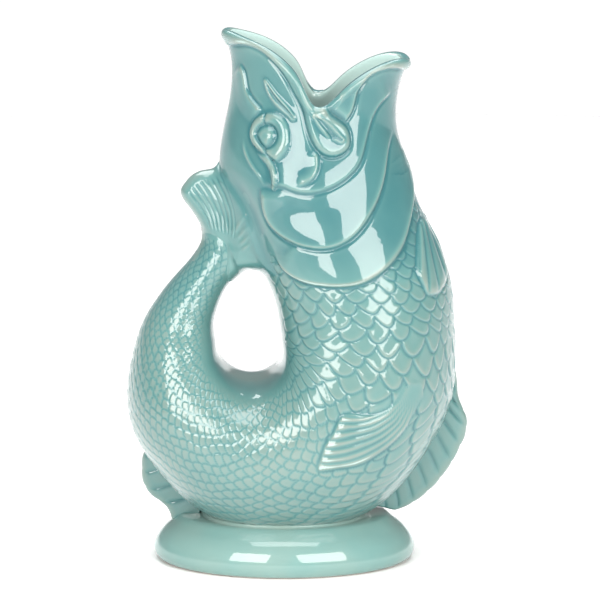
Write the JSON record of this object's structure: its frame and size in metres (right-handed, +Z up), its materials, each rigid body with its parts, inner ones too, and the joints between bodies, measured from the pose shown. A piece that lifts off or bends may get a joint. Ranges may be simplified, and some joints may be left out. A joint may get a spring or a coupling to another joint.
{
  "type": "gurgle jug",
  "caption": "Glazed ceramic gurgle jug shaped as a standing fish: open jaws as the mouth, hollow tail curled to the neck as the handle, oval foot.",
  "frame": {"origin": "on the table under the jug, at the middle of its bounding box", "axes": "+Z up, +X towards the belly and the lower jaw, -X towards the tail handle, +Y towards the fish's left side"},
  "size_m": [0.1603, 0.1068, 0.2505],
  "materials": {
    "glaze_body": "glossy translucent turquoise glaze, paler where it is thin on raised edges and deeper where it pools",
    "glaze_scales": "glossy translucent turquoise glaze, paler where it is thin on raised edges and deeper where it pools",
    "glaze_foot": "glossy translucent turquoise glaze, paler where it is thin on raised edges and deeper where it pools",
    "glaze_lip": "glossy translucent turquoise glaze, paler where it is thin on raised edges and deeper where it pools",
    "glaze_fins": "glossy translucent turquoise glaze, paler where it is thin on raised edges and deeper where it pools",
    "glaze_features": "glossy translucent turquoise glaze, paler where it is thin on raised edges and deeper where it pools"
  },
  "bodies": {
    "root": {"head_shell": "glaze_body", "belly_shell": "glaze_scales", "tail_handle": "glaze_scales", "foot": "glaze_foot", "mouth_lip": "glaze_lip", "tail_bridge": "glaze_body", "tail_fin": "glaze_fins", "belly_fin": "glaze_fins", "rear_fin": "glaze_fins", "left_eye": "glaze_features", "right_eye": "glaze_features", "left_jaw_lobe": "glaze_features", "right_jaw_lobe": "glaze_features", "left_cheek_plate": "glaze_body", "right_cheek_plate": "glaze_body", "left_gill_cover": "glaze_body", "right_gill_cover": "glaze_body", "left_pelvic_fin": "glaze_fins", "right_pelvic_fin": "glaze_fins", "left_pectoral_fin": "glaze_fins", "right_pectoral_fin": "glaze_fins"}
  },
  "joints": []
}
